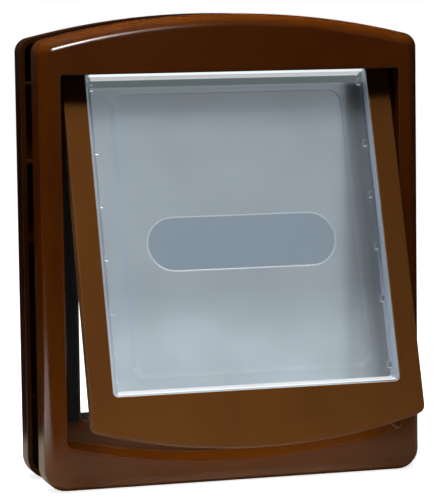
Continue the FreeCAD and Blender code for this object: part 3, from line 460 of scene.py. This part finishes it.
# Painted shadow: the emission fades under the head and in the right-hand band.
below_head_shadow = add_node(tree, "ShaderNodeMapRange", Value=parts["Z"], From_Min=HEAD_PAINTED_SHADOW[0],
                    From_Max=HEAD_PAINTED_SHADOW[1], To_Min=HEAD_PAINTED_SHADOW_LEAST)
left_of_band_shade = add_node(tree, "ShaderNodeMapRange", Value=parts["X"], From_Min=BAND_PAINTED_SHADE[0],
                     From_Max=BAND_PAINTED_SHADE[1], To_Min=BAND_PAINTED_SHADE_LEAST)
painted_shadow_fades = calculate(tree, "MULTIPLY", below_head_shadow.outputs[0], left_of_band_shade.outputs[0])
# Painted light: the emission grows toward the lower end.
gain = add_node(tree, "ShaderNodeMapRange", {"interpolation_type": "SMOOTHSTEP"}, Value=parts["Z"],
                From_Min=GLOW_LENGTH[0], From_Max=GLOW_LENGTH[1], To_Min=GLOW_GAIN[0],
                To_Max=GLOW_GAIN[1])
painted_light_gain = calculate(tree, "ADD", calculate(tree, "MULTIPLY", slope["Mask"], SLOPE_PAINTED_LIGHT), gain.outputs[0])
groove = add_node(tree, "ShaderNodeMapRange", Value=parts["Z"], From_Min=GROOVE[0], From_Max=GROOVE[1])
cloudy = use_group(tree, tone_drift, Place=place, Color=HAZE_PAINTED_LIGHT, Size=45 * MM, Amount=0.9)
glow = add_node(tree, "ShaderNodeVectorMath", {"operation": "SCALE"}, i0=cloudy["Color"],
                Scale=calculate(tree, "MULTIPLY", painted_shadow_fades, painted_light_gain)).outputs[0]
# Painted light and painted highlights: the pad, groove, edges, outline and walls get their own emission.
for mask, colour in ((pad["Inside"], PAD_PAINTED_LIGHT), (groove.outputs[0], GROOVE_PAINTED_LIGHT), (edge["Mask"], EDGE_PAINTED_HIGHLIGHT),
                     (pad["Outline"], LINE_PAINTED_HIGHLIGHT), (wall["Mask"], WALL_PAINTED_HIGHLIGHT)):
    glow = blend_colours(tree, mask, glow, colour)
tree.links.new(glow, shader.inputs["Emission Color"])
shader.inputs["Emission Strength"].default_value = 1.0
print(clear.name, "has", len(tree.nodes), "nodes")

# %% [markdown]
# The small metal pieces are zinc plated steel and plain sintered magnets. Plating is a bright metal with a
# fine brushed grain and cloudy patches, and a magnet is a dull dark grey with a coarse matt grain.

# %% Materials: steel and magnet
STEEL = [0.55, 0.55, 0.56, 1.0]
STEEL_ROUGHNESS = 0.24
STEEL_ROUGH_SWING = 0.2
MAGNET = [0.12, 0.12, 0.13, 1.0]

steel, tree, shader, place = new_material("steel")
skin = use_group(tree, moulded_skin, Place=place, Grain_Size=0.3 * MM, Grain=0.03 * MM,
                 Flow_Size=5 * MM, Flow=0.02 * MM)
toned = use_group(tree, tone_drift, Place=place, Color=STEEL, Size=6 * MM, Amount=0.35)
tree.links.new(toned["Color"], shader.inputs["Base Color"])
rough = calculate(tree, "MULTIPLY", skin["Mask"], STEEL_ROUGH_SWING)
tree.links.new(calculate(tree, "ADD", STEEL_ROUGHNESS, rough), shader.inputs["Roughness"])
bump = add_node(tree, "ShaderNodeBump", Height=skin["Height"], Strength=0.4, Distance=1.0)
tree.links.new(bump.outputs[0], shader.inputs["Normal"])
shader.inputs["Metallic"].default_value = 1.0

magnet, tree, shader, place = new_material("magnet")
skin = use_group(tree, moulded_skin, Place=place, Grain_Size=0.25 * MM, Grain=0.05 * MM,
                 Flow_Size=4 * MM, Flow=0.02 * MM)
toned = use_group(tree, tone_drift, Place=place, Color=MAGNET, Size=3 * MM, Amount=0.4)
tree.links.new(toned["Color"], shader.inputs["Base Color"])
bump = add_node(tree, "ShaderNodeBump", Height=skin["Height"], Strength=0.8, Distance=1.0)
tree.links.new(bump.outputs[0], shader.inputs["Normal"])
shader.inputs["Roughness"].default_value = 0.6
shader.inputs["Metallic"].default_value = 0.4
print(steel.name, "and", magnet.name, "ready")

# %% [markdown]
# The draught strips are a woven backing with short pile standing on it. The fibres are modelled, so their
# material only needs a dark colour that varies from tuft to tuft and a soft sheen. The backing's weave is
# two crossed wave textures in the bump.

# %% Materials: pile and backing
PILE = [0.006, 0.005, 0.0045, 1.0]
BACKING = [0.010, 0.009, 0.008, 1.0]
WEAVE_SCALE = 700.0

pile, tree, shader, place = new_material("pile")
toned = use_group(tree, tone_drift, Place=place, Color=PILE, Size=1.1 * MM, Amount=1.2)
tree.links.new(toned["Color"], shader.inputs["Base Color"])
shader.inputs["Roughness"].default_value = 0.75
shader.inputs["Sheen Weight"].default_value = 0.03

backing, tree, shader, place = new_material("pile_backing")
toned = use_group(tree, tone_drift, Place=place, Color=BACKING, Size=8 * MM, Amount=0.4)
tree.links.new(toned["Color"], shader.inputs["Base Color"])
along = add_node(tree, "ShaderNodeTexWave", {"bands_direction": "X"}, Vector=place, Scale=WEAVE_SCALE)
over = add_node(tree, "ShaderNodeTexWave", {"bands_direction": "Z"}, Vector=place, Scale=WEAVE_SCALE)
weave = calculate(tree, "MAXIMUM", along.outputs["Fac"], over.outputs["Fac"])
bump = add_node(tree, "ShaderNodeBump", Height=weave, Strength=0.6, Distance=0.1 * MM)
tree.links.new(bump.outputs[0], shader.inputs["Normal"])
shader.inputs["Roughness"].default_value = 0.85
print(pile.name, "and", backing.name, "ready")

# %% [markdown]
# Every CAD node keeps its mesh and gets the finish of the slot that the record names for it. One loop does
# that, so a node that is added later can't be forgotten. The surround and the rear frame then get their own
# variants of the brown: painted light makes the surround's lighter and painted shade the rear frame's
# darker.
# Cycles renders a clear sheet's shadow as if the sheet were solid, which would leave the sill behind it in
# the dark. The panel therefore casts none.

# %% Dress the CAD nodes
FINISHES = {"brown_plastic": brown, "black_plastic": black, "clear_plastic": clear, "steel": steel,
            "magnet": magnet, "pile": pile}
for part in frame["record"]["subparts"]:
    node = frame["nodes"][part["node"]]
    for holder in node.material_slots:
        holder.material = FINISHES[part["material_slot"]]
for name, finish in (("flap_surround", satin_painted_light), ("rear_frame", rear_painted_shade)):
    for holder in frame["nodes"][name].material_slots:
        holder.material = finish
frame["nodes"]["clear_panel"].visible_shadow = False

# %% [markdown]
# Pieces that CAD keeps plain are built from vertices and faces. Two helpers do the common work: one turns
# such lists into an object, and one hands it over to the frame, riding on its body and standing for the
# nodes that it replaces.

# %% Mesh helpers


def mesh_object(name, vertices, faces, materials, face_materials=None, smooth=True):
    """An object made from lists of points and faces."""
    mesh = bpy.data.meshes.new(name)
    mesh.from_pydata(vertices, [], faces)
    for material in materials:
        mesh.materials.append(material)
    for index, polygon in enumerate(mesh.polygons):
        polygon.use_smooth = smooth
        if face_materials:
            polygon.material_index = face_materials[index]
    mesh.validate()
    item = bpy.data.objects.new(name, mesh)
    scene.collection.objects.link(item)
    return item


def hand_over(item, body, slot, *nodes):
    """Let the piece ride on its body and stand for these nodes. Its slot is not used."""
    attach(item, body)
    if nodes:
        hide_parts(*nodes)
    triangles = sum(len(polygon.vertices) - 2 for polygon in item.data.polygons)
    print(item.name, "rides on", body, "with", triangles, "triangles")


# %% [markdown]
# A pile strip is a woven tape with rows of tufts. CAD holds it as one solid with a T section: the tape is
# the wide part and the pile the narrow one. Each tuft here is a few thin blades that lean at random, and
# the random numbers are seeded, so every run gives the same strip. The blades end inside the solid's box,
# because the flap passes only 0.3 mm in front of it.

# %% Pile strips
TAPE = 0.8 * MM
PILE_MARGIN = 0.6 * MM
TUFT_PITCH = 0.95 * MM
TUFT_WIDTH = 0.42 * MM
BLADES = 4
BLADE_WIDTH = 0.11 * MM
BLADE_TIP = 0.35                    # the tip's share of the foot's width
SPREAD, LEAN = 0.3, 0.6             # of a blade's foot and tip, as shares of a tuft's width
ROOT = 0.05 * MM                    # how far a blade reaches into the tape
HEIGHTS = (0.86, 0.99)              # shares of the pile's depth


def add_box(vertices, faces, low, high):
    """A box between two corners, added to these lists."""
    start = len(vertices)
    vertices += [(x, y, z) for x in (low.x, high.x) for y in (low.y, high.y) for z in (low.z, high.z)]
    faces += [tuple(start + corner for corner in side) for side in
              ((0, 1, 3, 2), (4, 6, 7, 5), (0, 4, 5, 1), (2, 3, 7, 6), (0, 2, 6, 4), (1, 5, 7, 3))]


def add_blade(vertices, faces, foot, tip, width):
    """A fibre as a thin three-sided spike, cut off just below its point."""
    start = len(vertices)
    for spot, size in ((foot, width), (tip, width * BLADE_TIP)):
        for step in range(3):
            turn = step * math.tau / 3
            vertices.append((spot.x + size * math.cos(turn), spot.y, spot.z + size * math.sin(turn)))
    for step in range(3):
        after = (step + 1) % 3
        faces.append((start + step, start + after, start + 3 + after, start + 3 + step))
    faces.append((start + 3, start + 4, start + 5))


def pile_strip(name, node, seed):
    """Tape and tufts in the place of one CAD strip. The pile points to the front, against Y."""
    chance = random.Random(seed)
    low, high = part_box(node)
    vertices, faces = [], []
    tape_front = high.y - TAPE
    add_box(vertices, faces, Vector((low.x, tape_front, low.z)), high)
    tape_faces = len(faces)
    reach = TUFT_WIDTH
    left, right = low.x + reach, high.x - reach
    foot, head = low.z + reach, high.z - reach
    if right - left < head - foot:
        left, right = left + PILE_MARGIN, right - PILE_MARGIN
    else:
        foot, head = foot + PILE_MARGIN, head - PILE_MARGIN
    columns = max(2, round((right - left) / TUFT_PITCH) + 1)
    rows = max(2, round((head - foot) / TUFT_PITCH) + 1)
    for column in range(columns):
        for row in range(rows):
            x = left + (right - left) * column / (columns - 1)
            z = foot + (head - foot) * row / (rows - 1)
            for _ in range(BLADES):
                base = Vector((x + chance.uniform(-SPREAD, SPREAD) * TUFT_WIDTH, tape_front + ROOT,
                               z + chance.uniform(-SPREAD, SPREAD) * TUFT_WIDTH))
                lean = Vector((chance.uniform(-LEAN, LEAN) * TUFT_WIDTH, 0,
                               chance.uniform(-LEAN, LEAN) * TUFT_WIDTH))
                height = (tape_front - low.y) * chance.uniform(*HEIGHTS)
                add_blade(vertices, faces, base, base + lean - Vector((0, height, 0)), BLADE_WIDTH)
    kinds = [1] * tape_faces + [0] * (len(faces) - tape_faces)
    strip = mesh_object(name, vertices, faces, [pile, backing], kinds, smooth=False)
    hand_over(strip, "housing", "pile", node)


for seed, side in enumerate(("left", "right", "head")):
    pile_strip("pile_strip_" + side, "weather_strip_" + side, seed)

# %% [markdown]
# The frames are pulled together by four long screws. CAD holds plain shanks, and a thread is fine detail
# for Blender. A thread is a helix, so one formula gives the whole surface: the radius at a point depends
# on how far the turn and the length are out of step. The head is turned like a lathe profile, and a
# Boolean cuts the cross that the driver fits.

# %% Fixing screws
SHANK = 2.0 * MM
CORE = 1.55 * MM
THREAD_PITCH = 1.8 * MM
CREST_SLOPE = 3.2                   # a larger number makes narrower crests
TIP_SHARE = 0.35                    # the tip's share of the full radius
HEAD_RADIUS = 3.8 * MM
HEAD_HEIGHT = 2.6 * MM
HEAD_EDGE = 0.8 * MM
HEAD_CHAMFER = 0.2 * MM
HEAD_STEPS = 4
CROSS_WIDTH = 0.8 * MM
TURN_STEPS = 24
PITCH_STEPS = 8


def thread_radius(turn, along, point_length, length):
    """Radius at this turn, so far from the tip. The thread fades in over the tapered point."""
    phase = (turn / math.tau + along / THREAD_PITCH) % 1.0
    crest = max(0.0, 1.0 - abs(phase - 0.5) * CREST_SLOPE)
    taper = min(1.0, TIP_SHARE + (1.0 - TIP_SHARE) * along / point_length)
    plain = min(1.0, max(0.0, (length - along) / THREAD_PITCH - 1.0))
    return (CORE + (SHANK - CORE) * crest * plain) * taper


def head_rings(seat):
    """Radius and Y of each ring of the screw's head, from its seat to its rounded top."""
    rings = [(HEAD_RADIUS - HEAD_CHAMFER, seat), (HEAD_RADIUS, seat + HEAD_CHAMFER)]
    flat = seat + HEAD_HEIGHT - HEAD_EDGE
    for step in range(HEAD_STEPS + 1):
        turn = step / HEAD_STEPS * math.pi / 2
        rings.append((HEAD_RADIUS - HEAD_EDGE * (1 - math.cos(turn)), flat + HEAD_EDGE * math.sin(turn)))
    return rings


def fixing_screw(name, node):
    """A threaded screw in the place of one CAD screw, which points to the front, against Y."""
    low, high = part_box(node)
    middle = (low + high) / 2
    seat = high.y - HEAD_HEIGHT
    length = seat - low.y
    count = round(length / THREAD_PITCH * PITCH_STEPS)
    rings = []
    for step in range(count + 1):
        along = length * step / count
        rings.append([(thread_radius(turn * math.tau / TURN_STEPS, along, 2 * SHANK, length), low.y + along)
                      for turn in range(TURN_STEPS)])
    rings += [[ring] * TURN_STEPS for ring in head_rings(seat)]
    vertices = []
    for ring in rings:
        for turn, (radius, y) in enumerate(ring):
            angle = turn * math.tau / TURN_STEPS
            vertices.append((middle.x + radius * math.cos(angle), y, middle.z + radius * math.sin(angle)))
    faces = []
    for ring in range(len(rings) - 1):
        for turn in range(TURN_STEPS):
            first = ring * TURN_STEPS + turn
            second = ring * TURN_STEPS + (turn + 1) % TURN_STEPS
            faces.append((second, first, first + TURN_STEPS, second + TURN_STEPS))
    faces.append(tuple(range(TURN_STEPS)))
    faces.append(tuple(reversed(range(len(vertices) - TURN_STEPS, len(vertices)))))
    screw = mesh_object(name, vertices, faces, [steel])
    cut_cross(screw, Vector((middle.x, high.y, middle.z)))
    hand_over(screw, "housing", "steel", node)


def cut_cross(screw, top):
    """Cut a cross for the driver into the head, with a Boolean that is applied to the mesh."""
    vertices, faces = [], []
    arm, leaf, deep = HEAD_RADIUS / 2, CROSS_WIDTH / 2, HEAD_HEIGHT / 2
    for wide, high in ((arm, leaf), (leaf, arm)):
        add_box(vertices, faces, top - Vector((wide, deep, high)), top + Vector((wide, deep, high)))
    cutter = mesh_object("cross_cutter", vertices, faces, [])
    boolean = screw.modifiers.new("cross", "BOOLEAN")
    boolean.operation = "DIFFERENCE"
    boolean.use_self = True
    boolean.object = cutter
    screw.data = bpy.data.meshes.new_from_object(screw.evaluated_get(bpy.context.evaluated_depsgraph_get()))
    screw.modifiers.clear()
    bpy.data.objects.remove(cutter)


for corner in ("bottom_left", "bottom_right", "top_left", "top_right"):
    fixing_screw("screw_" + corner, "fixing_screw_" + corner)

# %% [markdown]
# The set is a plain white one. The floor is real and pale, and catches a soft shadow. What it shows depends
# on the ray that meets it, and Light Path tells the rays apart. In the gloss and in bounced light there is
# a floor only near the object, as a table would end there: that is why the lower left edge of the frame has
# a grey reflection that the upper part lacks.

# %% Floor: colour
FLOOR_SIZE = 6.0
FLOOR_DROP = 0.4 * MM
FLOOR_COLOUR = [0.8, 0.8, 0.8, 1.0]
FLOOR_IN_GLOSS = [0.36, 0.32, 0.24, 1.0]
BEYOND_TABLE = [0.01, 0.01, 0.01, 1.0]
FLOOR_ROUGHNESS = 0.9
TABLE_MIDDLE = (-0.4, 0.0, 0.0)
TABLE_REACH = (0.8, 0.15, 1.0)
TABLE_EDGE = (0.85, 1.25)           # shares of the reach between which the table ends

scene.view_settings.view_transform = "Standard"
floor = mesh_object("floor", [(x, y, -FLOOR_DROP) for x, y in ((-1, -1), (1, -1), (1, 1), (-1, 1))],
                    [(0, 1, 2, 3)], [])
floor.scale = (FLOOR_SIZE, FLOOR_SIZE, 1.0)
paint, tree, shader, _ = new_material("floor_paint")
ray = add_node(tree, "ShaderNodeLightPath").outputs
spot = add_node(tree, "ShaderNodeNewGeometry").outputs["Position"]
table = add_node(tree, "ShaderNodeMapping", {"vector_type": "TEXTURE"}, Vector=spot, Location=TABLE_MIDDLE,
                 Scale=TABLE_REACH)
reach = add_node(tree, "ShaderNodeVectorMath", {"operation": "LENGTH"}, i0=table.outputs[0])
beyond = add_node(tree, "ShaderNodeMapRange", {"interpolation_type": "SMOOTHSTEP"},
                  Value=reach.outputs["Value"], From_Min=TABLE_EDGE[0], From_Max=TABLE_EDGE[1])
bounced = calculate(tree, "ADD", ray["Is Glossy Ray"], ray["Is Diffuse Ray"], clamp=True)
gone = calculate(tree, "MULTIPLY", bounced, beyond.outputs[0])
sheen = blend_colours(tree, ray["Is Glossy Ray"], FLOOR_COLOUR, FLOOR_IN_GLOSS)
tree.links.new(blend_colours(tree, gone, sheen, BEYOND_TABLE), shader.inputs["Base Color"])
shader.inputs["Roughness"].default_value = FLOOR_ROUGHNESS
shader.inputs["Specular IOR Level"].default_value = 0.0
floor.data.materials.append(paint)
print("floor ready")

# %% [markdown]
# The floor also glows, by another amount for each kind of ray. To the camera it is lifted to white, a bit
# less near the object, where the shadow lies. Through the panel it looks a mid grey. The table's own part
# throws light up at the object, and a bright patch at its left end is seen only in the gloss, as the pale
# line down the frame's left side.

# %% Floor: glow
LIFT_NEAR = 0.85
LIFT_FAR = 1.0
LIFT_REACH = (0.15, 0.6)            # metres from the object's foot
THROUGH_LIFT = 0.28
TABLE_GLOW = 0.5
PATCH_MIDDLE = -0.42                # along X
PATCH_REACH = (0.26, 0.1)           # half widths at which the patch begins and is full
PATCH_GLOW = 1.8

on_table = calculate(tree, "SUBTRACT", 1.0, beyond.outputs[0])
far = add_node(tree, "ShaderNodeVectorMath", {"operation": "LENGTH"}, i0=spot)
lift = add_node(tree, "ShaderNodeMapRange", Value=far.outputs["Value"], From_Min=LIFT_REACH[0],
                From_Max=LIFT_REACH[1], To_Min=LIFT_NEAR, To_Max=LIFT_FAR)
aside = calculate(tree, "SUBTRACT", add_node(tree, "ShaderNodeSeparateXYZ", Vector=spot).outputs["X"],
                  PATCH_MIDDLE)
patch = add_node(tree, "ShaderNodeMapRange", {"interpolation_type": "SMOOTHSTEP"},
                 Value=calculate(tree, "ABSOLUTE", aside), From_Min=PATCH_REACH[0], From_Max=PATCH_REACH[1])
bright_patch = calculate(tree, "MULTIPLY", patch.outputs[0], PATCH_GLOW)
glow = 0.0
for kind, amount in (("Is Camera Ray", lift.outputs[0]), ("Is Transmission Ray", THROUGH_LIFT),
                     ("Is Diffuse Ray", calculate(tree, "MULTIPLY", on_table, TABLE_GLOW)),
                     ("Is Glossy Ray", calculate(tree, "MULTIPLY", on_table, bright_patch))):
    glow = calculate(tree, "ADD", glow, calculate(tree, "MULTIPLY", ray[kind], amount))
tree.links.new(glow, shader.inputs["Emission Strength"])
shader.inputs["Emission Color"].default_value = (1.0, 1.0, 1.0, 1.0)
print(paint.name, "has", len(tree.nodes), "nodes")

# %% [markdown]
# The world is white to the camera and a mid grey through the panel, like the floor. For everything else it
# is nearly black, so that it doesn't wash out the brown.

# %% World
WORLD_SEEN = [1.0, 1.0, 1.0, 1.0]
WORLD_THROUGH = [0.28, 0.28, 0.28, 1.0]
WORLD_IN_GLOSS = [0.02, 0.02, 0.022, 1.0]
AMBIENT = [0.015, 0.015, 0.015, 1.0]

world = bpy.data.worlds.new("studio")
scene.world = world
world.use_nodes = True
tree = world.node_tree
ray = add_node(tree, "ShaderNodeLightPath").outputs
colour = AMBIENT
for kind, seen in (("Is Glossy Ray", WORLD_IN_GLOSS), ("Is Transmission Ray", WORLD_THROUGH),
                   ("Is Camera Ray", WORLD_SEEN)):
    colour = blend_colours(tree, ray[kind], colour, seen)
tree.links.new(colour, tree.nodes["Background"].inputs["Color"])
print("world ready")

# %% [markdown]
# Four soft lamps. The key lamp stands high and a little in front, and is small enough to give the head's
# clear shadow on the flap. A grid narrows its beam, which is aimed at the left side, so the light falls
# off to the right. The top lamp is broad and lies overhead to the left: it lights the rounded upper edges.
# A low lamp in front, with a narrow grid too, lifts the frame's foot. None of these is seen in the gloss.
# The last one is seen only there, as the streak in the upper left corner. Light linking keeps it to the
# front frame, because its gloss would lie over the flap and the panel as a veil.
#
# A lamp's power is set from the light that arrives: pi * pi * distance squared watts from straight ahead
# render a colour as it is written, and a grid of half angle h makes the middle of its beam brighter by
# tan h / (tan h - h).

# %% Lamps
LAMP_DISTANCE = 1.5
MIDDLE = Vector((0.0, -0.02, 0.12))
LEFT_SIDE = Vector((-0.1, -0.02, 0.12))
CORNER = Vector((-0.0912, -0.0178, 0.2196))
FOOT = Vector((0.03, -0.02, -0.01))


def soft_lamp(name, spot, aim, width, height, level, half_beam=None):
    """A rectangular lamp at spot, turned to aim, that gives this level of light there."""
    data = bpy.data.lights.new(name, "AREA")
    data.shape = "RECTANGLE"
    data.size = width
    data.size_y = height
    lamp = bpy.data.objects.new(name, data)
    way = Vector(aim) - Vector(spot)
    data.energy = level * math.pi ** 2 * way.length_squared
    if half_beam:
        data.spread = 2 * half_beam
        data.energy *= 1 - half_beam / math.tan(half_beam)
    lamp.matrix_world = Matrix.Translation(spot) @ way.to_track_quat("-Z", "Y").to_matrix().to_4x4()
    scene.collection.objects.link(lamp)
    print("%s: %.3f W" % (name, data.energy))
    return lamp


key = soft_lamp("key", MIDDLE + LAMP_DISTANCE * Vector((-0.05, -0.30, 0.953)), LEFT_SIDE,
                width=0.30, height=0.16, level=1.2, half_beam=math.radians(12))
top = soft_lamp("top", (-0.22, -0.12, 1.2), MIDDLE, width=0.8, height=0.3, level=1.3)
low_front = soft_lamp("low_front", FOOT + Vector((0.1, -1.0, 0.06)), FOOT,
                      width=0.5, height=0.04, level=0.2, half_beam=math.radians(7))
for lamp in (key, top, low_front):
    lamp.visible_glossy = False
glint = soft_lamp("glint", CORNER + LAMP_DISTANCE * Vector((0.155, -0.935, 0.315)), CORNER,
                  width=0.10, height=0.27, level=0.25)
glint.visible_diffuse = False
glossy_only = bpy.data.collections.new("streak_receivers")
glossy_only.objects.link(frame["nodes"]["front_frame"])
glint.light_linking.receiver_collection = glossy_only
